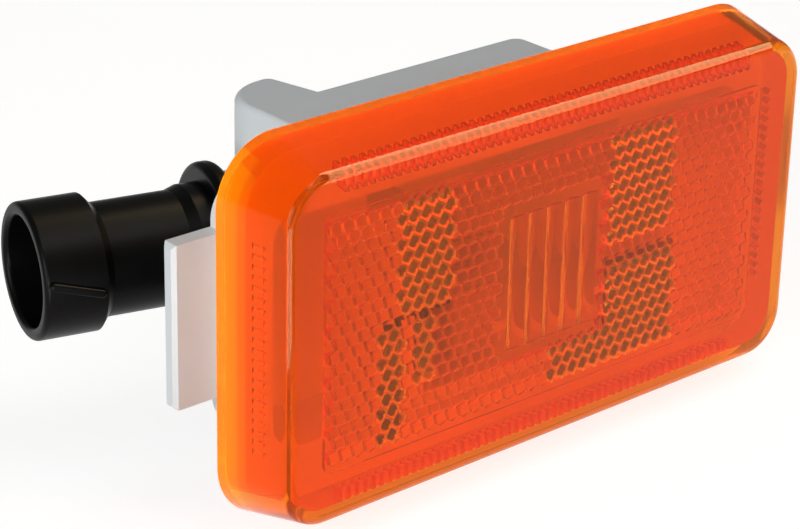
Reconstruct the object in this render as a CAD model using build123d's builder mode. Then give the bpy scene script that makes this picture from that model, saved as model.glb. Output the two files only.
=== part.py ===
from build123d import *
from math import cos, radians, sin, sqrt, tan
import os

# Side marker lamp, in millimetres. X runs along the lens, Z is up and the lens faces -Y.
# Y = 0 is the plane where the lamp lies on the vehicle's panel.

# Lens shell
LENS_LENGTH = 110.0
LENS_HEIGHT = 60.0
LENS_DEPTH = 13.0
LENS_CORNER = 10.0
LENS_DRAFT = 13.0
LENS_EDGE = 1.8
LENS_WALL = 2.4
LENS_FRONT = 2.6

# Ribs on the inside of the lens walls: deep ones along its top and bottom, small ones at its two ends
RIB_PITCH = 1.6
RIB_WIDTH = 0.7
RIB_RISE = 2.0
RIB_RUN = 2.5
RIB_BITE = 0.3
RIB_CORNER_GAP = 3.0
END_RIB_RISE = 0.6
END_RIB_RUN = 2.0
END_RIB_SETBACK = 3.7

# Reflex reflector: hexagonal pins with cube-corner tips, some blocks of them turned half round.
# Each block is given by its left, right, bottom and top edges.
PIN_PITCH = 2.3
PIN_COLUMNS = 38
PIN_ROWS = 19
PIN_FOOT = 0.3
PIN_BITE = 0.3
TURNED_BLOCKS = (
    (-30.0, -20.0, 0.0, 26.0),
    (-33.5, -29.5, -26.0, 0.0),
    (-27.0, -23.0, -10.0, 0.0),
    (12.5, 25.5, 1.0, 26.0),
    (12.0, 27.0, -26.0, -2.0),
    (1.0, 12.0, -26.0, -13.0),
)
PAD_RISE = 0.6
PAD_MARGIN = 0.8
PAD_CORNER = 1.5

# Fluted window in the middle of the reflector
FLUTE_PITCH = 3.7
FLUTE_COUNT = 5
FLUTE_R = 2.6
WINDOW_HEIGHT = 21.5

# Housing flange and neck
LENS_FIT = 0.1
FLANGE_DEPTH = 3.5
NECK_LENGTH = 97.0
NECK_HEIGHT = 40.0
NECK_CORNER = 6.0
HOUSING_WALL = 1.8

# Fixing tab on the left and snap latch on the right, both catching behind the panel
PANEL_SPACE = 7.0
TAB_THICK = 2.7
TAB_REACH = 8.7
TAB_HEIGHT = 26.0
TAB_BEVEL = 0.6
LATCH_WIDTH = 16.0
LATCH_REACH = 5.5
LATCH_RUN = 6.0
LATCH_THICK = 1.6
LATCH_CATCH = 2.0

# Lamp chamber and the deeper turret at its left end
CHAMBER_LEFT = -23.4
CHAMBER_LENGTH = 56.8
CHAMBER_HEIGHT = 37.0
CHAMBER_BACK = 32.8
CHAMBER_CORNER = 2.5
CHAMBER_EDGE = 1.2
TURRET_LENGTH = 11.7
TURRET_FLARE = 2.1
TURRET_BACK = 42.6
TURRET_ROUND = 9.5
TURRET_CORNER = 2.0

# Bulb holder: distances run outwards along its axis from the face of the boss
HOLDER_X = -31.0
HOLDER_Y = 29.2
HOLDER_TILT = 15.0
BOSS_R = 10.3
BOSS_LENGTH = 13.0
RIM_DEPTH = 2.5
PLUG_R = 7.2
PLUG_FIT = 0.2
PLUG_LENGTH = 12.0
LUG_REACH = 1.3
LUG_WIDTH = 3.6
LUG_THICK = 2.2
LUG_PLAY = 0.2
SEAL_GAP = 0.4
SEAL_IN_R = 7.9
SEAL_WIDTH = 1.7
SEAL_FIT = 0.05
GROOVE_DEPTH = 1.0
HOLDER_FLANGE_R = 12.3
HOLDER_FLANGE_THICK = 3.2
HOLDER_FLANGE_EDGE = 1.2
RING_R = 9.4
RING_END = 6.6
NECK_R = 8.8
NECK_START = 8.4
NECK_END = 21.2
COLLAR_R = 10.6
COLLAR_START = 22.8
COLLAR_END = 32.6
COLLAR_WALL = 2.1
COLLAR_EDGE = 0.8
SOCKET_DEPTH = 10.0
NOSE_R = 6.0
NOSE_DEPTH = 6.0

# Bayonet ramps on the collar
RAMP_COUNT = 2
RAMP_ANGLE = -87.0
RAMP_LENGTH = 9.0
RAMP_WIDTH = 1.3
RAMP_RISE = 0.8
RAMP_EDGE = 0.4
RAMP_BITE = 0.8
RAMP_SLANT = -17.0

# Terminals
TERMINAL_R = 1.0
TERMINAL_SPACING = 4.4
TERMINAL_FIT = 0.05
TERMINAL_SHORT = 6.5
TERMINAL_POINT = 0.4
STRIP_THICK = 0.6
STRIP_WIDTH = 5.0
STRIP_LENGTH = 7.0
STRIP_LAP = 0.4

# Wedge-base bulb
SLOT_DEPTH = 8.0
SLOT_LENGTH = 10.4
SLOT_WIDTH = 6.8
WEDGE_LENGTH = 9.6
WEDGE_THICK = 2.4
WEDGE_LIFT = 1.2
BULB_R = 4.7
BULB_WALL = 0.5
BULB_LENGTH = 26.0
BULB_PINCH = 8.6
BULB_SHOULDER = 1.5
WIRE_R = 0.2
WIRE_FIT = 0.03
WIRE_SPACING = 4.0
WIRE_SPREAD = 5.0
WIRE_TAIL = 4.2
FILAMENT_R = 0.4
FILAMENT_STAND = 17.8

# Values that follow from the sizes above
DRAFT_TAN = tan(radians(LENS_DRAFT))
INNER_DEPTH = LENS_DEPTH - LENS_FRONT
RIB_DEPTH = INNER_DEPTH + RIB_BITE
RIB_Z = LENS_HEIGHT / 2 - LENS_WALL - RIB_DEPTH * DRAFT_TAN + (RIB_BITE - RIB_RISE) / 2
END_RIB_X = LENS_LENGTH / 2 - LENS_WALL - (INNER_DEPTH - END_RIB_SETBACK) * DRAFT_TAN
RIB_INSET = LENS_CORNER + RIB_CORNER_GAP
RIBS_ALONG = int((LENS_LENGTH - 2 * RIB_INSET) / RIB_PITCH)
RIBS_UP = int((LENS_HEIGHT - 2 * RIB_INSET) / RIB_PITCH)
PIN_R = PIN_PITCH / sqrt(3)
PIN_ROW = PIN_PITCH * sqrt(3) / 2
PIN_TIP = PIN_R / sqrt(2)
PAD_LENGTH = PIN_COLUMNS * PIN_PITCH + 2 * PAD_MARGIN
PAD_HEIGHT = (PIN_ROWS - 1) * PIN_ROW + 2 * PIN_R + 2 * PAD_MARGIN
PAD_Y = PAD_RISE - INNER_DEPTH
WINDOW_LENGTH = FLUTE_PITCH * FLUTE_COUNT
FLUTE_SINK = sqrt(FLUTE_R**2 - (FLUTE_PITCH / 2) ** 2)
FLUTE_RISE = FLUTE_R - FLUTE_SINK
FLANGE_INSET = LENS_WALL + LENS_FIT
NECK_DEPTH = PANEL_SPACE + TAB_THICK
NECK_END_X = NECK_LENGTH / 2
CHAMBER_CAVITY_HEIGHT = CHAMBER_HEIGHT - 2 * HOUSING_WALL
RIM_BORE_R = PLUG_R + PLUG_FIT
LUG_R = PLUG_R + LUG_REACH
LUG_ROOM_R = LUG_R + 2 * PLUG_FIT
FLANGE_FACE = SEAL_GAP + HOLDER_FLANGE_THICK
GROOVE_FLOOR = SEAL_GAP + GROOVE_DEPTH
SEAL_OUT_R = SEAL_IN_R + SEAL_WIDTH
SOCKET_FLOOR = COLLAR_END - SOCKET_DEPTH
NOSE_FLOOR = SOCKET_FLOOR - NOSE_DEPTH
SLOT_FLOOR = SLOT_DEPTH - PLUG_LENGTH
RAMP_MIDDLE = (COLLAR_START + COLLAR_END) / 2
TERMINAL_TIP = COLLAR_END - TERMINAL_SHORT
STRIP_X = WEDGE_THICK / 2 + 2 * WIRE_R + 2 * TERMINAL_FIT + STRIP_THICK / 2
WEDGE_FOOT = SLOT_FLOOR - WEDGE_LIFT
BULB_TOP = WEDGE_FOOT - BULB_LENGTH
PINCH_TOP = WEDGE_FOOT - BULB_PINCH
GLASS_START = PINCH_TOP - BULB_SHOULDER
FILAMENT_PLACE = WEDGE_FOOT - FILAMENT_STAND
WIRE_BEND = WEDGE_FOOT + WIRE_R + WIRE_FIT
WIRE_FACE = WEDGE_THICK / 2 + WIRE_R + TERMINAL_FIT

# The inside of the lens front, seen from the back of the lamp
INNER_FRONT = Plane(origin=(0, -INNER_DEPTH, 0), x_dir=(1, 0, 0), z_dir=(0, 1, 0))

# The bulb holder's cross plane, with its normal outwards and its x upwards, and its lengthwise section
AXIS_X = -cos(radians(HOLDER_TILT))
AXIS_Y = sin(radians(HOLDER_TILT))
HOLDER = Plane(origin=(HOLDER_X, HOLDER_Y, 0), x_dir=(0, 0, 1), z_dir=(AXIS_X, AXIS_Y, 0))
SECTION = Plane(origin=HOLDER.origin, x_dir=(0, 0, 1), z_dir=(-AXIS_Y, AXIS_X, 0))
HOLDER_AXIS = Axis(HOLDER.origin, HOLDER.z_dir)

os.makedirs("parts", exist_ok=True)


# One reflex pin: a hexagon cut by three faces at right angles to each other
with BuildPart() as pin:
    with BuildSketch(Plane.XY.offset(-PIN_BITE)):
        RegularPolygon(PIN_R, 6, rotation=30)
    extrude(amount=PIN_BITE + PIN_FOOT + 2 * PIN_TIP)
    for turn in (30, 150, 270):
        normal = Vector(sqrt(2), 0, 1).rotate(Axis.Z, turn)
        split(bisect_by=Plane(origin=(0, 0, PIN_FOOT + 2 * PIN_TIP), z_dir=normal), keep=Keep.BOTTOM)

# The pins stand in a honeycomb around the window
pin_spots = []
for row in range(PIN_ROWS):
    columns = PIN_COLUMNS - row % 2
    for column in range(columns):
        x = (column - (columns - 1) / 2) * PIN_PITCH
        z = (row - (PIN_ROWS - 1) / 2) * PIN_ROW
        beside_window = abs(x) > (WINDOW_LENGTH + PIN_PITCH) / 2
        over_window = abs(z) > WINDOW_HEIGHT / 2 + PIN_R
        turned = any(left < x < right and bottom < z < top for left, right, bottom, top in TURNED_BLOCKS)
        if beside_window or over_window:
            pin_spots.append(Location((x, -z, 0), (0, 0, 180 * turned)))

with BuildPart() as lens:
    with BuildSketch(Plane.XZ):
        RectangleRounded(LENS_LENGTH, LENS_HEIGHT, LENS_CORNER)
    extrude(amount=LENS_DEPTH, taper=LENS_DRAFT)
    fillet(lens.faces().sort_by(Axis.Y)[0].edges(), LENS_EDGE)
    with BuildSketch(Plane.XZ):
        RectangleRounded(LENS_LENGTH - 2 * LENS_WALL, LENS_HEIGHT - 2 * LENS_WALL, LENS_CORNER - LENS_WALL)
    extrude(amount=INNER_DEPTH, taper=LENS_DRAFT, mode=Mode.SUBTRACT)
    # Ribs that run back along each wall, from the inside of the front or behind it
    for side in (1, -1):
        with BuildSketch(INNER_FRONT.offset(-RIB_BITE)):
            with Locations((0, -side * RIB_Z)):
                with GridLocations(RIB_PITCH, RIB_PITCH, RIBS_ALONG, 1):
                    Rectangle(RIB_WIDTH, RIB_RISE + RIB_BITE)
        extrude(amount=RIB_RUN, dir=(0, 1, side * DRAFT_TAN))
        with BuildSketch(INNER_FRONT.offset(END_RIB_SETBACK)):
            with Locations((side * END_RIB_X, 0)):
                with GridLocations(RIB_PITCH, RIB_PITCH, 1, RIBS_UP):
                    RegularPolygon(END_RIB_RISE, 4)
        extrude(amount=END_RIB_RUN, dir=(side * DRAFT_TAN, 1, 0))
    # Raised pad that carries the reflector
    with BuildSketch(INNER_FRONT):
        RectangleRounded(PAD_LENGTH, PAD_HEIGHT, PAD_CORNER)
    extrude(amount=PAD_RISE)
    # Upright flutes of the window
    with BuildSketch(Plane.XY.offset(-WINDOW_HEIGHT / 2)):
        with Locations((0, PAD_Y - FLUTE_SINK)):
            with GridLocations(FLUTE_PITCH, FLUTE_PITCH, FLUTE_COUNT, 1):
                Circle(FLUTE_R)
        with Locations((0, PAD_Y)):
            Rectangle(WINDOW_LENGTH, 2 * FLUTE_RISE, mode=Mode.INTERSECT)
    extrude(amount=WINDOW_HEIGHT)
    with Locations(INNER_FRONT.offset(PAD_RISE)):
        with Locations(*pin_spots):
            add(pin.part)
lens.part.label = "lens"
export_step(lens.part, "parts/lens.step")

with BuildPart() as housing:
    # Lamp chamber and turret, from their outline seen from above
    with BuildSketch() as chamber_plan:
        with Locations((CHAMBER_LEFT, 0)):
            Rectangle(CHAMBER_LENGTH, CHAMBER_BACK, align=(Align.MIN, Align.MIN))
        fillet(chamber_plan.vertices().group_by(Axis.X)[-1].sort_by(Axis.Y)[-1], CHAMBER_CORNER)
        with BuildSketch(mode=Mode.PRIVATE) as turret_plan:
            with BuildLine():
                Polyline(
                    (CHAMBER_LEFT, 0),
                    (CHAMBER_LEFT, TURRET_BACK),
                    (CHAMBER_LEFT + TURRET_LENGTH, TURRET_BACK),
                    (CHAMBER_LEFT + TURRET_LENGTH + TURRET_FLARE, CHAMBER_BACK),
                    (CHAMBER_LEFT + TURRET_LENGTH + TURRET_FLARE, 0),
                    close=True,
                )
            make_face()
            turret_back = turret_plan.vertices().group_by(Axis.Y)[-1].sort_by(Axis.X)
            fillet(turret_back[-1], TURRET_CORNER)
            fillet(turret_plan.vertices().sort_by(Axis.X)[:2].sort_by(Axis.Y)[-1], TURRET_ROUND)
        add(turret_plan.sketch)
    extrude(amount=CHAMBER_HEIGHT / 2, both=True)
    fillet(housing.faces().filter_by(Axis.Z).edges(), CHAMBER_EDGE)
    # Neck through the panel and flange inside the lens
    with BuildSketch(Plane.XZ):
        RectangleRounded(NECK_LENGTH, NECK_HEIGHT, NECK_CORNER)
    extrude(amount=-NECK_DEPTH)
    with BuildSketch(Plane.XZ):
        RectangleRounded(
            LENS_LENGTH - 2 * FLANGE_INSET, LENS_HEIGHT - 2 * FLANGE_INSET, LENS_CORNER - FLANGE_INSET
        )
    extrude(amount=FLANGE_DEPTH, taper=LENS_DRAFT)
    # Fixing tab
    with BuildSketch(Plane.XZ.offset(-PANEL_SPACE)):
        with Locations((-NECK_END_X - TAB_REACH, 0)):
            Rectangle(TAB_REACH + HOUSING_WALL, TAB_HEIGHT, align=(Align.MIN, Align.CENTER))
    extrude(amount=-TAB_THICK)
    chamfer(housing.faces().sort_by(Axis.X)[0].edges(), TAB_BEVEL)
    # Snap latch: a post behind the neck with an arm that springs out and forwards
    with BuildSketch():
        with BuildLine():
            Polyline(
                (NECK_END_X - LATCH_THICK, PANEL_SPACE),
                (NECK_END_X - LATCH_THICK, NECK_DEPTH + LATCH_RUN),
                (NECK_END_X + LATCH_THICK / 2, NECK_DEPTH + LATCH_RUN),
                (NECK_END_X + LATCH_REACH, PANEL_SPACE + LATCH_CATCH / 2),
                (NECK_END_X + LATCH_REACH, PANEL_SPACE),
                (NECK_END_X + LATCH_REACH - LATCH_CATCH, PANEL_SPACE),
                (NECK_END_X, NECK_DEPTH + LATCH_RUN - LATCH_THICK),
                (NECK_END_X, PANEL_SPACE),
                close=True,
            )
        make_face()
    extrude(amount=LATCH_WIDTH / 2, both=True)
    # The hollow inside, open towards the lens
    with BuildSketch():
        offset(chamber_plan.sketch, amount=-HOUSING_WALL)
    extrude(amount=CHAMBER_CAVITY_HEIGHT / 2, both=True, mode=Mode.SUBTRACT)
    with BuildSketch(Plane.XZ.offset(HOUSING_WALL - NECK_DEPTH)):
        RectangleRounded(
            NECK_LENGTH - 2 * HOUSING_WALL, NECK_HEIGHT - 2 * HOUSING_WALL, NECK_CORNER - HOUSING_WALL
        )
    extrude(amount=NECK_DEPTH - HOUSING_WALL + FLANGE_DEPTH, mode=Mode.SUBTRACT)
    # Boss for the bulb holder, with room behind its rim for the lugs to turn
    with BuildSketch(HOLDER):
        Circle(BOSS_R)
    extrude(amount=-BOSS_LENGTH)
    with BuildSketch(HOLDER):
        Circle(RIM_BORE_R)
        Rectangle(2 * LUG_ROOM_R, LUG_WIDTH + 2 * PLUG_FIT)
    extrude(amount=-RIM_DEPTH, mode=Mode.SUBTRACT)
    with BuildSketch(HOLDER.offset(-RIM_DEPTH)):
        Circle(LUG_ROOM_R)
    extrude(amount=RIM_DEPTH - BOSS_LENGTH, mode=Mode.SUBTRACT)
housing.part.label = "housing"
export_step(housing.part, "parts/housing.step")

with BuildPart() as bulb_holder:
    # Plug, flange with seal groove, neck and receptacle collar, turned about the holder's axis
    with BuildSketch(SECTION):
        with BuildLine():
            Polyline(
                (0, -PLUG_LENGTH),
                (PLUG_R, -PLUG_LENGTH),
                (PLUG_R, SEAL_GAP),
                (SEAL_IN_R, SEAL_GAP),
                (SEAL_IN_R, GROOVE_FLOOR),
                (SEAL_OUT_R, GROOVE_FLOOR),
                (SEAL_OUT_R, SEAL_GAP),
                (HOLDER_FLANGE_R, SEAL_GAP),
                (HOLDER_FLANGE_R, FLANGE_FACE),
                (RING_R, FLANGE_FACE),
                (RING_R, RING_END),
                (NECK_R, NECK_START),
                (NECK_R, NECK_END),
                (COLLAR_R, COLLAR_START),
                (COLLAR_R, COLLAR_END),
                (COLLAR_R - COLLAR_WALL, COLLAR_END),
                (COLLAR_R - COLLAR_WALL, SOCKET_FLOOR),
                (NOSE_R, SOCKET_FLOOR),
                (NOSE_R, NOSE_FLOOR),
                (0, NOSE_FLOOR),
                close=True,
            )
        make_face()
    revolve(axis=HOLDER_AXIS)
    circles = bulb_holder.edges().filter_by(GeomType.CIRCLE)
    fillet(circles.group_by(SortBy.RADIUS)[-1], HOLDER_FLANGE_EDGE)
    fillet(bulb_holder.edges().filter_by(GeomType.CIRCLE).sort_by(HOLDER_AXIS)[-2:], COLLAR_EDGE)
    # Bayonet ramps for the plug's locking ring
    for ramp in range(RAMP_COUNT):
        around = Vector(HOLDER.x_dir).rotate(HOLDER_AXIS, RAMP_ANGLE + ramp * 360 / RAMP_COUNT)
        middle = HOLDER.origin + HOLDER.z_dir * RAMP_MIDDLE
        with BuildSketch(Plane(origin=middle + around * (COLLAR_R + RAMP_RISE), x_dir=HOLDER.z_dir, z_dir=around)):
            SlotOverall(RAMP_LENGTH, RAMP_WIDTH, rotation=RAMP_SLANT)
        extrude(amount=-RAMP_RISE - RAMP_BITE)
        fillet(bulb_holder.faces(Select.LAST).sort_by(Axis(middle, around))[-1].edges(), RAMP_EDGE)
    # Twist-lock lugs
    with BuildSketch(HOLDER.offset(-RIM_DEPTH - LUG_PLAY)):
        Rectangle(LUG_WIDTH, 2 * LUG_R)
    extrude(amount=-LUG_THICK)
    # Slot for the bulb's wedge and passages for the terminals
    with BuildSketch(HOLDER.offset(-PLUG_LENGTH)):
        Rectangle(SLOT_WIDTH, SLOT_LENGTH)
    extrude(amount=SLOT_DEPTH, mode=Mode.SUBTRACT)
    with BuildSketch(HOLDER.offset(SLOT_FLOOR)):
        with GridLocations(TERMINAL_SPACING, TERMINAL_SPACING, 2, 1):
            Circle(TERMINAL_R + TERMINAL_FIT)
    extrude(amount=NOSE_FLOOR - SLOT_FLOOR, mode=Mode.SUBTRACT)
bulb_holder.part.label = "bulb_holder"
export_step(bulb_holder.part, "parts/bulb_holder.step")

with BuildPart() as holder_seal:
    with BuildSketch(HOLDER):
        Circle(SEAL_OUT_R - SEAL_FIT)
        Circle(SEAL_IN_R + SEAL_FIT, mode=Mode.SUBTRACT)
    extrude(amount=GROOVE_FLOOR)
holder_seal.part.label = "holder_seal"
export_step(holder_seal.part, "parts/holder_seal.step")

with BuildPart() as terminal_upper:
    with BuildSketch(HOLDER.offset(TERMINAL_TIP)):
        with Locations((TERMINAL_SPACING / 2, 0)):
            Circle(TERMINAL_R)
    extrude(amount=SLOT_FLOOR - STRIP_LAP - TERMINAL_TIP)
    chamfer(terminal_upper.edges().sort_by(HOLDER_AXIS)[-1], TERMINAL_POINT)
    with BuildSketch(HOLDER.offset(SLOT_FLOOR)):
        with Locations((STRIP_X, 0)):
            Rectangle(STRIP_THICK, STRIP_WIDTH)
    extrude(amount=-STRIP_LENGTH)
terminal_upper.part.label = "terminal_upper"
export_step(terminal_upper.part, "parts/terminal_upper.step")

with BuildPart() as terminal_lower:
    mirror(terminal_upper.part, about=Plane.XY)
terminal_lower.part.label = "terminal_lower"
export_step(terminal_lower.part, "parts/terminal_lower.step")

with BuildPart() as bulb_glass:
    # Round envelope
    with BuildSketch(SECTION):
        with BuildLine():
            Polyline((0, PINCH_TOP), (WEDGE_THICK / 2, PINCH_TOP), (BULB_R, GLASS_START), (BULB_R, BULB_TOP + BULB_R))
            CenterArc((0, BULB_TOP + BULB_R), BULB_R, 0, -90)
            Line((0, BULB_TOP), (0, PINCH_TOP))
        make_face()
    revolve(axis=HOLDER_AXIS)
    # Flat wedge that the holder grips
    with BuildSketch(HOLDER.offset(WEDGE_FOOT)):
        Rectangle(WEDGE_THICK, WEDGE_LENGTH)
    extrude(amount=GLASS_START - WEDGE_FOOT)
    # Hollow inside, and the wires' passages through the pinch
    with BuildSketch(SECTION):
        with BuildLine():
            Polyline((0, GLASS_START), (BULB_R - BULB_WALL, GLASS_START), (BULB_R - BULB_WALL, BULB_TOP + BULB_R))
            CenterArc((0, BULB_TOP + BULB_R), BULB_R - BULB_WALL, 0, -90)
            Line((0, BULB_TOP + BULB_WALL), (0, GLASS_START))
        make_face()
    revolve(axis=HOLDER_AXIS, mode=Mode.SUBTRACT)
    with BuildSketch(HOLDER.offset(WEDGE_FOOT)):
        with GridLocations(WIRE_SPACING, WIRE_SPACING, 1, 2):
            Circle(WIRE_R + WIRE_FIT)
    extrude(amount=GLASS_START - WEDGE_FOOT, mode=Mode.SUBTRACT)
bulb_glass.part.label = "bulb_glass"
export_step(bulb_glass.part, "parts/bulb_glass.step")

with BuildPart() as bulb_lead_wires:
    # Each wire runs from the filament through the pinch and folds back along one face of the wedge
    for side in (1, -1):
        with BuildLine() as route:
            Polyline(
                HOLDER.from_local_coords((0, side * WIRE_SPREAD / 2, FILAMENT_PLACE)),
                HOLDER.from_local_coords((0, side * WIRE_SPACING / 2, GLASS_START)),
                HOLDER.from_local_coords((0, side * WIRE_SPACING / 2, WIRE_BEND)),
                HOLDER.from_local_coords((side * WIRE_FACE, side * WIRE_SPACING / 2, WIRE_BEND)),
                HOLDER.from_local_coords((side * WIRE_FACE, side * WIRE_SPACING / 2, WIRE_BEND - WIRE_TAIL)),
            )
        with BuildSketch(Plane(origin=route.line @ 0, z_dir=route.line % 0)):
            Circle(WIRE_R)
        sweep(path=route.line, transition=Transition.RIGHT)
bulb_lead_wires.part.label = "bulb_lead_wires"
export_step(bulb_lead_wires.part, "parts/bulb_lead_wires.step")

with BuildPart() as bulb_filament:
    with BuildSketch(Plane(HOLDER.offset(FILAMENT_PLACE + FILAMENT_R).origin, x_dir=(0, 0, 1), z_dir=HOLDER.y_dir)):
        Circle(FILAMENT_R)
    extrude(amount=WIRE_SPREAD / 2 - WIRE_R, both=True)
bulb_filament.part.label = "bulb_filament"
export_step(bulb_filament.part, "parts/bulb_filament.step")
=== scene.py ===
import logging
import math
from dataclasses import dataclass
from enum import Enum
from typing import Any, Union

import bpy
from mathutils import Matrix, Vector


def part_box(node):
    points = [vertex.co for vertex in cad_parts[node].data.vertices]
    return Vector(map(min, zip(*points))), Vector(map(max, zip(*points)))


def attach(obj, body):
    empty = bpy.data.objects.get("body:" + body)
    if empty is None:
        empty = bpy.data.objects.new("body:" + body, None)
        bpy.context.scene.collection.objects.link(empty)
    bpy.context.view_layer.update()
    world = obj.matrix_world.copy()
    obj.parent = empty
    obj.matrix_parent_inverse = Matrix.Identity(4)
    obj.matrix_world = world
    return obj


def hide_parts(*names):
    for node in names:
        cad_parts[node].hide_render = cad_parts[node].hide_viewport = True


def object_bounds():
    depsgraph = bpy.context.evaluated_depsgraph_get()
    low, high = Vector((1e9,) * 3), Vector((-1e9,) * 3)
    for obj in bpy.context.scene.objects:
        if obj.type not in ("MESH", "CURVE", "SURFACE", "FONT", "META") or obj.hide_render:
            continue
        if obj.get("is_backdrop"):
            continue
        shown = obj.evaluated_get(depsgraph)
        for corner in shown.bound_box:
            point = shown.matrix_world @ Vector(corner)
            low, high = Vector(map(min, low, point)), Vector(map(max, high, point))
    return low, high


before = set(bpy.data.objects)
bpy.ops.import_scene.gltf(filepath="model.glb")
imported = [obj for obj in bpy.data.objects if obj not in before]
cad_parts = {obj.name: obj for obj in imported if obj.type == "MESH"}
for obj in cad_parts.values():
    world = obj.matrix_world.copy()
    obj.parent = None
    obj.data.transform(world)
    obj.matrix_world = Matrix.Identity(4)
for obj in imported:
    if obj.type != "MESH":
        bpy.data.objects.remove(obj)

LOG = logging.getLogger("side_marker_lamp")
MM = 0.001
ROOT_BODY = "root"

Colour = tuple[float, float, float, float]
Tint = tuple[float, float, float]
Triple = tuple[float, float, float]
Block = tuple[float, float, float, float]
Operand = Union[bpy.types.NodeSocket, float]


class Node(Enum):
    """The lamp's CAD nodes."""

    LENS = "lens"
    HOUSING = "housing"
    HOLDER = "bulb_holder"
    SEAL = "holder_seal"
    TERMINAL_UPPER = "terminal_upper"
    TERMINAL_LOWER = "terminal_lower"
    BULB = "bulb_glass"
    WIRES = "bulb_lead_wires"
    FILAMENT = "bulb_filament"


class Slot(Enum):
    """A material slot of the record."""

    WIRE = "bulb_wire"


class Socket(Enum):
    """The kinds of socket that the node groups have."""

    COLOUR = "NodeSocketColor"
    VALUE = "NodeSocketFloat"
    GEOMETRY = "NodeSocketGeometry"


class Reach(Enum):
    """What a light does: it lights surfaces, or it only shows in polished ones."""

    SOFT = "soft"
    MIRRORED = "mirrored"


def grey(level: float) -> Colour:
    """Returns an opaque grey of this linear level."""
    return (level, level, level, 1.0)


class NodeGraph:
    """A short way to add, set and join the nodes of one tree."""

    def __init__(self, tree: bpy.types.NodeTree) -> None:
        """Keeps the tree that the nodes go into.

        Args:
            tree: The shader or geometry tree to fill.
        """
        self.tree = tree

    def add(self, kind: str, values: dict[str | int, Any] | None = None, **attributes: Any) -> bpy.types.Node:
        """Adds a node, with its properties and the values of its unlinked inputs.

        Args:
            kind: The node's bl_idname.
            values: Input values by socket name or number.
            **attributes: Node properties such as operation or data_type.

        Returns:
            The new node.
        """
        node = self.tree.nodes.new(kind)
        for name, value in attributes.items():
            setattr(node, name, value)
        for socket, value in (values or {}).items():
            node.inputs[socket].default_value = value
        return node

    def join(self, source: bpy.types.NodeSocket, target: bpy.types.NodeSocket) -> None:
        """Links one output to one input."""
        self.tree.links.new(source, target)

    def math(self, operation: str, first: Operand, second: Operand) -> bpy.types.NodeSocket:
        """Adds a Math node on two operands, each of them an output or a plain number.

        Args:
            operation: The node's operation.
            first: What goes into its first input.
            second: What goes into its second input.

        Returns:
            The result.
        """
        node = self.add("ShaderNodeMath", operation=operation)
        for operand, socket in zip((first, second), node.inputs):
            if isinstance(operand, bpy.types.NodeSocket):
                self.join(operand, socket)
            else:
                socket.default_value = operand
        return node.outputs["Value"]

    def map_range(
        self, source: bpy.types.NodeSocket, values: dict[str, float], **attributes: Any
    ) -> bpy.types.Node:
        """Adds a Map Range node.

        Args:
            source: The output to map.
            values: The node's limits by socket name.
            **attributes: Node properties such as interpolation_type.

        Returns:
            The new node, whose output is named Result.
        """
        node = self.add("ShaderNodeMapRange", values, **attributes)
        self.join(source, node.inputs["Value"])
        return node

    def rectangle(self, apart: bpy.types.Node, block: Block) -> bpy.types.NodeSocket:
        """Masks a block of the lens, seen from the front.

        Args:
            apart: The Separate XYZ node that gives the place.
            block: The block's left, right, bottom and top edges in millimetres.

        Returns:
            A mask of 1 in the block and 0 outside it.
        """
        left, right, bottom, top = block
        sides = []
        for axis, low, high in (("X", left, right), ("Z", bottom, top)):
            values = {1: (low + high) / 2 * MM, 2: (high - low) / 2 * MM}
            side = self.add("ShaderNodeMath", values, operation="COMPARE")
            self.join(apart.outputs[axis], side.inputs[0])
            sides.append(side.outputs["Value"])
        return self.math("MULTIPLY", *sides)


def declare(tree: bpy.types.NodeTree, inputs: dict[str, Any], outputs: dict[str, Socket]) -> None:
    """Gives a node group its named inputs and outputs.

    Args:
        tree: The group.
        inputs: Default value of each input: a colour, or a plain number.
        outputs: Kind of each output.
    """
    for label, default in inputs.items():
        kind = Socket.COLOUR if isinstance(default, tuple) else Socket.VALUE
        socket = tree.interface.new_socket(label, in_out="INPUT", socket_type=kind.value)
        socket.default_value = default
    for label, kind in outputs.items():
        tree.interface.new_socket(label, in_out="OUTPUT", socket_type=kind.value)


def skin_inputs(look: Union["MouldSkin", "Finish"]) -> dict[str, Any]:
    """Lists a look's tones, scales and gloss by the mould skin's input names.

    Args:
        look: The skin itself, for its defaults, or a finish.

    Returns:
        The input values.
    """
    gloss_low, gloss_high = look.gloss
    return {
        "Tone": look.tone,
        "Flow Tone": look.flow_tone,
        "Flow Scale": look.flow_scale,
        "Grain Scale": look.grain_scale,
        "Gloss Low": gloss_low,
        "Gloss High": gloss_high,
    }


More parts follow.
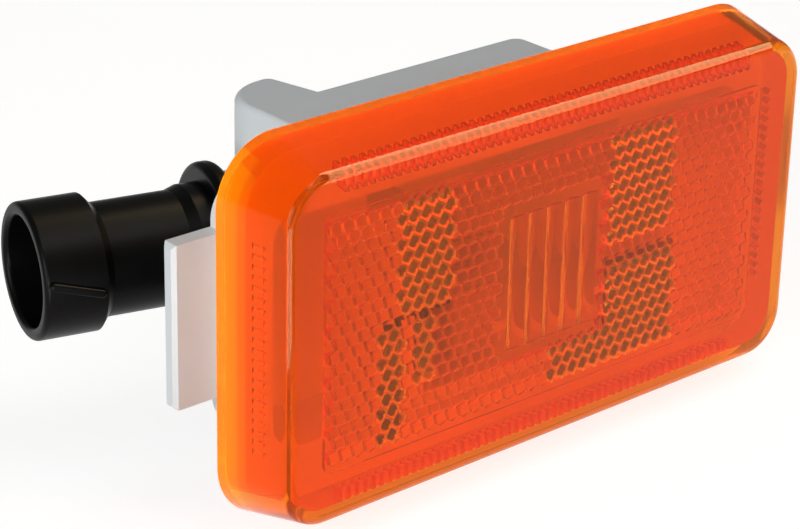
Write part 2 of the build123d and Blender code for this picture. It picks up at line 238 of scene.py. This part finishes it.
@dataclass(frozen=True)
class MouldSkin:
    """The surface that a mould leaves: slow flow marks shift tone and gloss, fine grain gives the height.

    The tones, scales and gloss are the group's defaults, and each finish sets its own.
    """

    name: str = "mould_skin"
    tone: Colour = grey(0.5)
    flow_tone: Colour = grey(0.4)
    flow_scale: float = 60.0
    grain_scale: float = 2500.0
    gloss: tuple[float, float] = (0.3, 0.5)
    flow_detail: float = 3.0
    flow_roughness: float = 0.55
    flow_distortion: float = 0.8
    grain_detail: float = 2.0
    grain_roughness: float = 0.6

    def group(self) -> bpy.types.NodeTree:
        """Builds the group that the lamp's finishes share, once.

        Returns:
            The shader node group, with Color, Roughness and Height outputs.
        """
        if self.name in bpy.data.node_groups:
            return bpy.data.node_groups[self.name]
        tree = bpy.data.node_groups.new(self.name, "ShaderNodeTree")
        declare(
            tree,
            skin_inputs(self),
            {"Color": Socket.COLOUR, "Roughness": Socket.VALUE, "Height": Socket.VALUE},
        )
        graph = NodeGraph(tree)
        inputs = graph.add("NodeGroupInput")
        outputs = graph.add("NodeGroupOutput")
        place = graph.add("ShaderNodeTexCoord")
        flow_values = {
            "Detail": self.flow_detail,
            "Roughness": self.flow_roughness,
            "Distortion": self.flow_distortion,
        }
        grain_values = {"Detail": self.grain_detail, "Roughness": self.grain_roughness}
        flow = graph.add("ShaderNodeTexNoise", flow_values)
        grain = graph.add("ShaderNodeTexNoise", grain_values)
        for noise, scale in ((flow, "Flow Scale"), (grain, "Grain Scale")):
            graph.join(place.outputs["Object"], noise.inputs["Vector"])
            graph.join(inputs.outputs[scale], noise.inputs["Scale"])
        tone = graph.add("ShaderNodeMix", data_type="RGBA")
        graph.join(flow.outputs["Fac"], tone.inputs["Factor"])
        graph.join(inputs.outputs["Tone"], tone.inputs["A"])
        graph.join(inputs.outputs["Flow Tone"], tone.inputs["B"])
        gloss = graph.map_range(flow.outputs["Fac"], {})
        graph.join(inputs.outputs["Gloss Low"], gloss.inputs["To Min"])
        graph.join(inputs.outputs["Gloss High"], gloss.inputs["To Max"])
        graph.join(tone.outputs["Result"], outputs.inputs["Color"])
        graph.join(gloss.outputs["Result"], outputs.inputs["Roughness"])
        graph.join(grain.outputs["Fac"], outputs.inputs["Height"])
        return tree


@dataclass(frozen=True)
class LensZones:
    """Where the lens's pins, turned pins, weld and end rims lie in millimetres, and where shade and light are
    painted.

    A block is given by its left, right, bottom and top edges. The reach of a pin's middle and edge is
    in pitches, and shades and scatters are shares of the full effect.
    """

    name: str = "lens_zones"
    pin_pitch: float = 2.3
    pin_middle: float = 0.32
    pin_edge: float = 0.5
    pad_back: float = -9.7
    pin_field: Block = (-43.7, 43.7, -19.3, 19.3)
    window: Block = (-9.25, 9.25, -10.75, 10.75)
    turned_blocks: tuple[Block, ...] = (
        (-30.0, -20.0, 0.0, 26.0),
        (-33.5, -29.5, -26.0, 0.0),
        (-27.0, -23.0, -10.0, 0.0),
        (12.5, 25.5, 1.0, 26.0),
        (12.0, 27.0, -26.0, -2.0),
        (1.0, 12.0, -26.0, -13.0),
    )
    turned_edge_shade: float = 0.3
    plain_scatter: float = 0.3
    shade_run: tuple[float, float] = (-30.0, 25.0)
    shade_at_right: float = 0.85
    weld_depth: float = 0.05
    rim_front: float = -3.2
    rim_fade: float = 0.8
    between_ends: Block = (-50.0, 50.0, -31.0, 31.0)

    def group(self) -> bpy.types.NodeTree:
        """Builds the map of the lens's zones.

        Edge marks what scatters light: the pins' edges and the weld at the back. The second mask marks the
        turned pins, most of all their middles, where shade is painted, and the third marks the rim at the two
        ends of the lens, where light is painted.

        Returns:
            The shader node group, with the edge mask, the painted shade mask and the painted rim light mask
            as its outputs.
        """
        tree = bpy.data.node_groups.new(self.name, "ShaderNodeTree")
        declare(
            tree,
            {"Inner": self.pin_middle, "Outer": self.pin_edge},
            {"Edge": Socket.VALUE, "Painted Shade": Socket.VALUE, "Painted Rim Light": Socket.VALUE},
        )
        graph = NodeGraph(tree)
        outputs = graph.add("NodeGroupOutput")
        place = graph.add("ShaderNodeTexCoord")
        apart = graph.add("ShaderNodeSeparateXYZ")
        graph.join(place.outputs["Object"], apart.inputs["Vector"])
        edge = self.pin_edges(graph, place)
        pins = self.pins(graph, apart)
        turned = self.turned_pins(graph, apart, pins)
        scatter = graph.map_range(turned, {"To Min": self.plain_scatter}).outputs["Result"]
        pin_scatter = graph.math("MULTIPLY", graph.math("MULTIPLY", edge, pins), scatter)
        weld = graph.math("GREATER_THAN", apart.outputs["Y"], -self.weld_depth * MM)
        graph.join(graph.math("MAXIMUM", pin_scatter, weld), outputs.inputs["Edge"])
        # Shade is painted on the turned pins: fully in their middles, less at their edges.
        shade = graph.map_range(edge, {"To Min": 1.0, "To Max": self.turned_edge_shade})
        graph.join(graph.math("MULTIPLY", shade.outputs["Result"], turned), outputs.inputs["Painted Shade"])
        # Light is painted on the rim at the two ends of the lens.
        graph.join(self.painted_rim_light_mask(graph, apart), outputs.inputs["Painted Rim Light"])
        return tree

    def pin_edges(self, graph: NodeGraph, place: bpy.types.Node) -> bpy.types.NodeSocket:
        """Masks the edges of all pins, by the distance to the nearest pin of the honeycomb.

        Args:
            graph: The group's nodes.
            place: The Texture Coordinate node.

        Returns:
            A mask that rises from 0 in a pin's middle to 1 at its edge.
        """
        inputs = graph.add("NodeGroupInput")
        per_pitch = 1 / (self.pin_pitch * MM)
        unit = graph.add("ShaderNodeVectorMath", {1: (per_pitch, 0.0, per_pitch)}, operation="MULTIPLY")
        graph.join(place.outputs["Object"], unit.inputs[0])
        # The honeycomb is two equal grids of pins, the second moved by half a cell both ways
        half_width = 0.5
        half_height = math.sqrt(3) / 2
        cell = {1: (half_width, 1.0, half_height), 2: (-half_width, -1.0, -half_height)}
        reaches = []
        for shift in ((0.0, 0.0, 0.0), (half_width, 0.0, half_height)):
            moved = graph.add("ShaderNodeVectorMath", {1: shift}, operation="ADD")
            graph.join(unit.outputs["Vector"], moved.inputs[0])
            wrapped = graph.add("ShaderNodeVectorMath", cell, operation="WRAP")
            graph.join(moved.outputs["Vector"], wrapped.inputs[0])
            reach = graph.add("ShaderNodeVectorMath", operation="LENGTH")
            graph.join(wrapped.outputs["Vector"], reach.inputs[0])
            reaches.append(reach.outputs["Value"])
        edge = graph.map_range(graph.math("MINIMUM", *reaches), {}, interpolation_type="SMOOTHSTEP")
        graph.join(inputs.outputs["Inner"], edge.inputs["From Min"])
        graph.join(inputs.outputs["Outer"], edge.inputs["From Max"])
        return edge.outputs["Result"]

    def pins(self, graph: NodeGraph, apart: bpy.types.Node) -> bpy.types.NodeSocket:
        """Masks the pins, which stand behind the pad all round the window.

        Args:
            graph: The group's nodes.
            apart: The Separate XYZ node that gives the place.

        Returns:
            A mask of 1 on the pins.
        """
        behind = graph.math("GREATER_THAN", apart.outputs["Y"], self.pad_back * MM)
        around = graph.math(
            "SUBTRACT", graph.rectangle(apart, self.pin_field), graph.rectangle(apart, self.window)
        )
        return graph.math("MULTIPLY", behind, around)

    def turned_pins(
        self, graph: NodeGraph, apart: bpy.types.Node, pins: bpy.types.NodeSocket
    ) -> bpy.types.NodeSocket:
        """Masks the blocks of turned pins, a little fainter towards the right.

        Args:
            graph: The group's nodes.
            apart: The Separate XYZ node that gives the place.
            pins: The mask of all pins.

        Returns:
            A mask of about 1 on the turned pins.
        """
        blocks = [graph.rectangle(apart, block) for block in self.turned_blocks]
        turned = blocks[0]
        for block in blocks[1:]:
            turned = graph.math("MAXIMUM", turned, block)
        # The painted shade, and the pins' scatter with it, fades towards the right.
        left, right = self.shade_run
        run = {"From Min": left * MM, "From Max": right * MM, "To Min": 1.0, "To Max": self.shade_at_right}
        shade = graph.map_range(apart.outputs["X"], run)
        return graph.math("MULTIPLY", graph.math("MULTIPLY", turned, pins), shade.outputs["Result"])

    def painted_rim_light_mask(self, graph: NodeGraph, apart: bpy.types.Node) -> bpy.types.NodeSocket:
        """Masks the rim at the back of the lens, at its two ends alone, where light is painted.

        Args:
            graph: The group's nodes.
            apart: The Separate XYZ node that gives the place.

        Returns:
            A mask of 1 on the two end rims.
        """
        reach = {"From Min": (self.rim_front - self.rim_fade) * MM, "From Max": self.rim_front * MM}
        rim = graph.map_range(apart.outputs["Y"], reach)
        ends = graph.math("SUBTRACT", 1.0, graph.rectangle(apart, self.between_ends))
        return graph.math("MULTIPLY", rim.outputs["Result"], ends)


@dataclass
class Draft:
    """A material in the making, with the mould skin in its graph."""

    material: bpy.types.Material
    graph: NodeGraph
    shader: bpy.types.Node
    skin: bpy.types.Node

    def wear_skin(self) -> None:
        """Gives the shader the skin's own colour and roughness."""
        self.graph.join(self.skin.outputs["Color"], self.shader.inputs["Base Color"])
        self.graph.join(self.skin.outputs["Roughness"], self.shader.inputs["Roughness"])


@dataclass(frozen=True)
class Finish:
    """What all the finishes share: two tones that flow into each other, a gloss range and two scales."""

    name: str
    tone: Colour
    flow_tone: Colour
    gloss: tuple[float, float]
    flow_scale: float = MouldSkin.flow_scale
    grain_scale: float = MouldSkin.grain_scale

    def draft(self, constants: dict[str, Any]) -> Draft:
        """Starts the material.

        Args:
            constants: The shader's plain values by socket name.

        Returns:
            The material in the making.
        """
        material = bpy.data.materials.new(self.name)
        material.use_nodes = True
        graph = NodeGraph(material.node_tree)
        shader = material.node_tree.nodes["Principled BSDF"]
        for socket, value in constants.items():
            shader.inputs[socket].default_value = value
        skin = graph.add("ShaderNodeGroup", skin_inputs(self), node_tree=MouldSkin().group())
        return Draft(material, graph, shader, skin)


@dataclass(frozen=True)
class MouldedPlastic(Finish):
    """An opaque moulded plastic or rubber, with a fine grain."""

    grain_depth_mm: float = 0.01
    grain_strength: float = 0.35
    ior: float = 1.5
    specular: float = 0.5

    def build(self) -> bpy.types.Material:
        """Makes the material.

        Returns:
            The finished material.
        """
        draft = self.draft({"IOR": self.ior, "Specular IOR Level": self.specular})
        draft.wear_skin()
        depth = {"Strength": self.grain_strength, "Distance": self.grain_depth_mm * MM}
        bump = draft.graph.add("ShaderNodeBump", depth)
        draft.graph.join(draft.skin.outputs["Height"], bump.inputs["Height"])
        draft.graph.join(bump.outputs["Normal"], draft.shader.inputs["Normal"])
        return draft.material


@dataclass(frozen=True)
class AmberLensPlastic(Finish):
    """The lens's polished transparent amber plastic, which lets light through to what is behind it."""

    name: str = "amber_lens_plastic"
    tone: Colour = (0.87, 0.23, 0.008, 1.0)
    flow_tone: Colour = (0.85, 0.21, 0.006, 1.0)
    gloss: tuple[float, float] = (0.03, 0.06)
    # Painted shade for the turned pins.
    painted_shade_tone: Colour = (0.03, 0.006, 0.001, 1.0)
    # Painted light for the end rims.
    painted_rim_light_tone: Colour = (0.92, 0.42, 0.01, 1.0)
    shadow_tint: Colour = (0.99, 0.58, 0.16, 1.0)
    mirror_tint: Colour = (0.35, 0.25, 0.15, 1.0)
    edge_roughness: float = 0.7
    transmission: float = 0.88
    ior: float = 1.49
    zones: LensZones = LensZones()

    def build(self) -> bpy.types.Material:
        """Makes the material.

        Returns:
            The finished material.
        """
        draft = self.draft(
            {"IOR": self.ior, "Specular Tint": self.mirror_tint, "Transmission Weight": self.transmission}
        )
        zones = draft.graph.add("ShaderNodeGroup", node_tree=self.zones.group())
        self.paint_shade_and_rim_light(draft, zones)
        self.roughen_edges(draft, zones)
        self.pass_light(draft)
        return draft.material

    def paint_shade_and_rim_light(self, draft: Draft, zones: bpy.types.Node) -> None:
        """Paints shade on the turned pins and light on the end rims, over the lens's own tone.

        Args:
            draft: The material in the making.
            zones: The map of the lens's zones.
        """
        tone = draft.skin.outputs["Color"]
        # Painted shade goes on the turned pins, painted light on the end rims.
        for zone, zone_tone in (("Painted Shade", self.painted_shade_tone), ("Painted Rim Light", self.painted_rim_light_tone)):
            blend = draft.graph.add("ShaderNodeMix", {"B": zone_tone}, data_type="RGBA")
            draft.graph.join(zones.outputs[zone], blend.inputs["Factor"])
            draft.graph.join(tone, blend.inputs["A"])
            tone = blend.outputs["Result"]
        draft.graph.join(tone, draft.shader.inputs["Base Color"])

    def roughen_edges(self, draft: Draft, zones: bpy.types.Node) -> None:
        """Roughens the pins' edges and the weld.

        Args:
            draft: The material in the making.
            zones: The map of the lens's zones.
        """
        rough = draft.graph.add("ShaderNodeMix", {"B": self.edge_roughness}, data_type="FLOAT")
        draft.graph.join(zones.outputs["Edge"], rough.inputs["Factor"])
        draft.graph.join(draft.skin.outputs["Roughness"], rough.inputs["A"])
        draft.graph.join(rough.outputs["Result"], draft.shader.inputs["Roughness"])

    def pass_light(self, draft: Draft) -> None:
        """Lets the studio's light through to the housing, tinted amber.

        Args:
            draft: The material in the making.
        """
        through = draft.graph.add("ShaderNodeBsdfTransparent", {"Color": self.shadow_tint})
        path = draft.graph.add("ShaderNodeLightPath")
        mix = draft.graph.add("ShaderNodeMixShader")
        draft.graph.join(path.outputs["Is Shadow Ray"], mix.inputs[0])
        draft.graph.join(draft.shader.outputs["BSDF"], mix.inputs[1])
        draft.graph.join(through.outputs["BSDF"], mix.inputs[2])
        output = draft.material.node_tree.nodes["Material Output"]
        draft.graph.join(mix.outputs["Shader"], output.inputs["Surface"])


@dataclass(frozen=True)
class BulbGlass(Finish):
    """Thin clear glass of the bulb."""

    name: str = "bulb_clear_glass"
    tone: Colour = (0.97, 0.98, 0.98, 1.0)
    flow_tone: Colour = (0.93, 0.95, 0.95, 1.0)
    gloss: tuple[float, float] = (0.01, 0.04)
    transmission: float = 1.0
    ior: float = 1.47

    def build(self) -> bpy.types.Material:
        """Makes the material.

        Returns:
            The finished material.
        """
        draft = self.draft({"IOR": self.ior, "Transmission Weight": self.transmission})
        draft.wear_skin()
        return draft.material


@dataclass(frozen=True)
class DrawnMetal(Finish):
    """A drawn or stamped metal, with fine dull marks."""

    flow_scale: float = 900.0
    metallic: float = 1.0

    def build(self) -> bpy.types.Material:
        """Makes the material.

        Returns:
            The finished material.
        """
        draft = self.draft({"Metallic": self.metallic})
        draft.wear_skin()
        return draft.material


WHITE_HOUSING = MouldedPlastic(
    "white_housing_plastic", (0.75, 0.8, 0.82, 1.0), (0.68, 0.72, 0.74, 1.0), (0.35, 0.5)
)
BLACK_HOLDER = MouldedPlastic("black_holder_plastic", grey(0.0015), grey(0.003), (0.3, 0.4), specular=0.08)
SEAL_RUBBER = MouldedPlastic("seal_rubber", grey(0.02), grey(0.03), (0.6, 0.8))
TERMINAL_METAL = DrawnMetal(
    "terminal_tinned_brass", (0.72, 0.58, 0.3, 1.0), (0.55, 0.43, 0.22, 1.0), (0.2, 0.4)
)
WIRE_METAL = DrawnMetal("bulb_wire_metal", grey(0.5), grey(0.35), (0.25, 0.45))


def dress(node: Node, material: bpy.types.Material) -> None:
    """Puts a material on every slot of a CAD node.

    Args:
        node: The CAD node.
        material: Its finish.
    """
    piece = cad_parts[node.value]
    if not piece.material_slots:
        piece.data.materials.append(material)
    for slot in piece.material_slots:
        slot.material = material
    LOG.info("dressed %s in %s", node.value, material.name)


@dataclass
class LensAssembly:
    """The amber lens, with the reflector, window and ribs moulded on its inside."""

    plastic: AmberLensPlastic = AmberLensPlastic()

    def build(self) -> None:
        """Dresses the lens."""
        dress(Node.LENS, self.plastic.build())


@dataclass
class HousingAssembly:
    """The white housing behind the lens."""

    plastic: MouldedPlastic = WHITE_HOUSING

    def build(self) -> None:
        """Dresses the housing."""
        dress(Node.HOUSING, self.plastic.build())


@dataclass
class HolderAssembly:
    """The black bulb holder with its seal and terminals."""

    plastic: MouldedPlastic = BLACK_HOLDER
    rubber: MouldedPlastic = SEAL_RUBBER
    metal: DrawnMetal = TERMINAL_METAL

    def build(self) -> None:
        """Dresses the holder, its seal and both terminals."""
        dress(Node.HOLDER, self.plastic.build())
        dress(Node.SEAL, self.rubber.build())
        brass = self.metal.build()
        dress(Node.TERMINAL_UPPER, brass)
        dress(Node.TERMINAL_LOWER, brass)


@dataclass
class BulbAssembly:
    """The wedge-base bulb: glass, lead wires and the coiled filament.

    The wire's radius is given as a share of the coil's outer radius.
    """

    coil_turns: float = 14.0
    wire_share: float = 0.22
    ring_points: int = 6
    points_per_turn: int = 12
    glass: BulbGlass = BulbGlass()
    metal: DrawnMetal = WIRE_METAL

    def build(self) -> None:
        """Dresses the glass and wires and winds the filament."""
        dress(Node.BULB, self.glass.build())
        metal = self.metal.build()
        dress(Node.WIRES, metal)
        dress(Node.FILAMENT, metal)
        coil = self.wind_filament(metal)
        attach(coil, ROOT_BODY)
        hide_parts(Node.FILAMENT.value)
        LOG.info("made %s", coil.name)

    def coil_tree(self, metal: bpy.types.Material, sizes: dict[str, float]) -> bpy.types.GeometryNodeTree:
        """Builds the geometry tree that winds a wire into a coil along Z.

        Args:
            metal: The wire's finish.
            sizes: The coil's sizes by the name of the input that takes them.

        Returns:
            The geometry node tree.
        """
        tree = bpy.data.node_groups.new("filament_coil", "GeometryNodeTree")
        declare(tree, sizes, {"Geometry": Socket.GEOMETRY})
        graph = NodeGraph(tree)
        inputs = graph.add("NodeGroupInput")
        outputs = graph.add("NodeGroupOutput")
        spiral = graph.add("GeometryNodeCurveSpiral", {"Resolution": self.points_per_turn})
        graph.join(inputs.outputs["Turns"], spiral.inputs["Rotations"])
        graph.join(inputs.outputs["Length"], spiral.inputs["Height"])
        graph.join(inputs.outputs["Coil Radius"], spiral.inputs["Start Radius"])
        graph.join(inputs.outputs["Coil Radius"], spiral.inputs["End Radius"])
        ring = graph.add("GeometryNodeCurvePrimitiveCircle", {"Resolution": self.ring_points})
        graph.join(inputs.outputs["Wire Radius"], ring.inputs["Radius"])
        tube = graph.add("GeometryNodeCurveToMesh", {"Fill Caps": True})
        graph.join(spiral.outputs["Curve"], tube.inputs["Curve"])
        graph.join(ring.outputs["Curve"], tube.inputs["Profile Curve"])
        real = graph.add("GeometryNodeRealizeInstances")
        graph.join(tube.outputs["Mesh"], real.inputs["Geometry"])
        finish = graph.add("GeometryNodeSetMaterial", {"Material": metal})
        graph.join(real.outputs["Geometry"], finish.inputs["Geometry"])
        graph.join(finish.outputs["Geometry"], outputs.inputs["Geometry"])
        return tree

    def coil_mesh(self, metal: bpy.types.Material, sizes: dict[str, float]) -> bpy.types.Mesh:
        """Winds the coil as a plain mesh that stands on the origin along Z.

        Args:
            metal: The wire's finish.
            sizes: The coil's sizes by the name of the input that takes them.

        Returns:
            The mesh.
        """
        host = bpy.data.objects.new("filament_host", bpy.data.meshes.new("filament_host"))
        bpy.context.scene.collection.objects.link(host)
        modifier = host.modifiers.new("coil", "NODES")
        modifier.node_group = self.coil_tree(metal, sizes)
        for item in modifier.node_group.interface.items_tree:
            if item.in_out == "INPUT":
                modifier[item.identifier] = sizes[item.name]
        evaluated = host.evaluated_get(bpy.context.evaluated_depsgraph_get())
        mesh = bpy.data.meshes.new_from_object(evaluated)
        mesh.name = "filament_coil"
        bpy.data.objects.remove(host)
        return mesh

    def wind_filament(self, metal: bpy.types.Material) -> bpy.types.Object:
        """Winds the filament where its CAD bar lies.

        Args:
            metal: The wire's finish.

        Returns:
            The coil, as a plain mesh.
        """
        low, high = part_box(Node.FILAMENT.value)
        middle = (low + high) / 2
        radius = (high.z - low.z) / 2
        wire = radius * self.wire_share
        # The bar's points all lie on its two ends
        points = [vertex.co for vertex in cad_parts[Node.FILAMENT.value].data.vertices]
        near = [point for point in points if point.y < middle.y]
        far = [point for point in points if point.y >= middle.y]
        along = sum(far, Vector()) / len(far) - sum(near, Vector()) / len(near)
        length = along.length - 2 * wire
        sizes = {
            "Turns": self.coil_turns,
            "Length": length,
            "Coil Radius": radius - wire,
            "Wire Radius": wire,
        }
        mesh = self.coil_mesh(metal, sizes)
        centre = Matrix.Translation(Vector((0.0, 0.0, -length / 2)))
        lie_down = Matrix.Rotation(math.radians(-90), 4, "X")
        turn = Matrix.Rotation(-math.atan2(along.x, along.y), 4, "Z")
        mesh.transform(Matrix.Translation(middle) @ turn @ lie_down @ centre)
        coil = bpy.data.objects.new("filament_coil", mesh)
        bpy.context.scene.collection.objects.link(coil)
        return coil


@dataclass(frozen=True)
class SoftLight:
    """A rectangular light aimed at the lamp, with its place and size in metres.

    A glow of 1 shows as white, and the twist turns the light about its aim.
    """

    name: str
    place: Triple
    size: tuple[float, float]
    glow: float
    reach: Reach
    twist_deg: float = 0.0
    tint: Tint = (1.0, 1.0, 1.0)


WARM: Tint = (1.0, 0.78, 0.48)
STUDIO_LIGHTS = (
    SoftLight("left_key", (-0.81, -0.32, 0.2), (0.5, 0.5), 7.0, Reach.SOFT),
    SoftLight("top_fill", (0.1, -0.3, 0.85), (0.5, 0.5), 2.0, Reach.SOFT),
    SoftLight("front_fill", (0.3, -0.8, 0.1), (0.5, 0.5), 1.6, Reach.SOFT),
    SoftLight("edge_panel", (0.56, -0.32, 0.55), (0.3, 1.6), 12.0, Reach.MIRRORED, -45.0, WARM),
    SoftLight("low_card", (-0.099, -0.051, -0.0115), (0.05, 0.035), 11.0, Reach.MIRRORED),
    SoftLight("ramp_card", (-0.13, -0.37, 0.7), (0.25, 0.25), 6.0, Reach.MIRRORED),
)


@dataclass
class Studio:
    """The white floor, soft lights and the camera at the photograph's angle.

    Lengths are in metres where the name gives no unit.
    """

    camera_place: Triple = (-0.2690, -0.2802, 0.1671)
    camera_forward: Triple = (0.6074, 0.6852, -0.4019)
    camera_roll_deg: float = 1.26
    camera_lens_mm: float = 123.75
    camera_sensor_mm: float = 36.0
    camera_near: float = 0.01
    floor_drop: float = 0.002
    floor_size: float = 6.0
    floor_level: float = 0.4
    floor_roughness: float = 0.9
    floor_white: float = 0.78
    sky_level: float = 0.18
    lights: tuple[SoftLight, ...] = STUDIO_LIGHTS

    def build(self) -> None:
        """Builds the floor, the world, the lights and the camera."""
        self.lay_floor()
        self.light_world()
        for light in self.lights:
            self.hang_light(light)
        self.place_camera()

    def seen_rays(self, graph: NodeGraph) -> bpy.types.NodeSocket:
        """Masks the rays that see the floor's white: from the camera, mirrored or through glass.

        A ray that has met a matt surface on its way is left out, so the white lights no matt surface.

        Args:
            graph: The floor's nodes.

        Returns:
            A mask of 1 for the rays that see the white and 0 for the rest.
        """
        path = graph.add("ShaderNodeLightPath")
        polished = graph.math("MAXIMUM", path.outputs["Is Glossy Ray"], path.outputs["Is Transmission Ray"])
        seen = graph.math("MAXIMUM", path.outputs["Is Camera Ray"], polished)
        under_one_bounce = 0.5
        unlit = graph.math("LESS_THAN", path.outputs["Diffuse Depth"], under_one_bounce)
        return graph.math("MULTIPLY", seen, unlit)

    def white_floor(self) -> bpy.types.Material:
        """Makes a floor that looks white, with the lamp's soft shadow still on it.

        Returns:
            The finished material.
        """
        material = bpy.data.materials.new("studio_floor_pale")
        material.use_nodes = True
        graph = NodeGraph(material.node_tree)
        lit = material.node_tree.nodes["Principled BSDF"]
        lit.inputs["Base Color"].default_value = grey(self.floor_level)
        lit.inputs["Roughness"].default_value = self.floor_roughness
        white = graph.add("ShaderNodeEmission", {"Color": grey(1.0)})
        strength = graph.math("MULTIPLY", self.seen_rays(graph), self.floor_white)
        graph.join(strength, white.inputs["Strength"])
        both = graph.add("ShaderNodeAddShader")
        graph.join(lit.outputs["BSDF"], both.inputs[0])
        graph.join(white.outputs["Emission"], both.inputs[1])
        graph.join(both.outputs["Shader"], material.node_tree.nodes["Material Output"].inputs["Surface"])
        return material

    def lay_floor(self) -> None:
        """Lays the floor just under the lamp."""
        low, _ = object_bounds()
        half = self.floor_size / 2
        height = low[2] - self.floor_drop
        corners = [(-half, -half, height), (half, -half, height), (half, half, height), (-half, half, height)]
        mesh = bpy.data.meshes.new("studio_floor")
        mesh.from_pydata(corners, [], [(0, 1, 2, 3)])
        mesh.materials.append(self.white_floor())
        floor = bpy.data.objects.new("studio_floor", mesh)
        bpy.context.scene.collection.objects.link(floor)
        floor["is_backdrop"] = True

    def light_world(self) -> None:
        """Sets a soft even surround, dimmer than the floor."""
        world = bpy.data.worlds.new("studio_world")
        world.use_nodes = True
        soft = world.node_tree.nodes["Background"]
        soft.inputs["Color"].default_value = grey(1.0)
        soft.inputs["Strength"].default_value = self.sky_level
        bpy.context.scene.world = world

    def hang_light(self, light: SoftLight) -> None:
        """Hangs one light and aims it at the lamp.

        Args:
            light: The light to hang.
        """
        data = bpy.data.lights.new(light.name, "AREA")
        data.shape = "RECTANGLE"
        width, height = light.size
        data.size = width
        data.size_y = height
        data.energy = light.glow * math.pi * width * height
        data.color = light.tint
        lamp = bpy.data.objects.new(light.name, data)
        place = Vector(light.place)
        aim = (-place).to_track_quat("-Z", "Y").to_matrix()
        twist = Matrix.Rotation(math.radians(light.twist_deg), 3, "Z")
        lamp.location = place
        lamp.rotation_euler = (aim @ twist).to_euler()
        lamp.visible_camera = False
        lamp.visible_transmission = False
        lamp.visible_diffuse = light.reach is Reach.SOFT
        bpy.context.scene.collection.objects.link(lamp)

    def place_camera(self) -> None:
        """Sets the camera where the photograph was taken from."""
        data = bpy.data.cameras.new("photo_camera")
        data.lens = self.camera_lens_mm
        data.sensor_width = self.camera_sensor_mm
        data.sensor_fit = "HORIZONTAL"
        data.clip_start = self.camera_near
        camera = bpy.data.objects.new("photo_camera", data)
        back = -Vector(self.camera_forward).normalized()
        right = Vector((0, 0, 1)).cross(back).normalized()
        up = back.cross(right)
        turn = Matrix((right, up, back)).transposed().to_4x4()
        roll = Matrix.Rotation(math.radians(self.camera_roll_deg), 4, "Z")
        camera.matrix_world = Matrix.Translation(self.camera_place) @ turn @ roll
        bpy.context.scene.collection.objects.link(camera)
        bpy.context.scene.camera = camera


def main() -> None:
    """Dresses the lamp and sets up the studio."""
    logging.basicConfig(level=logging.INFO)
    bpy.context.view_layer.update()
    for assembly in (LensAssembly(), HousingAssembly(), HolderAssembly(), BulbAssembly(), Studio()):
        assembly.build()
        LOG.info("%s is done", type(assembly).__name__)
    bpy.context.scene.view_settings.view_transform = "Standard"


if __name__ == "__main__":
    main()
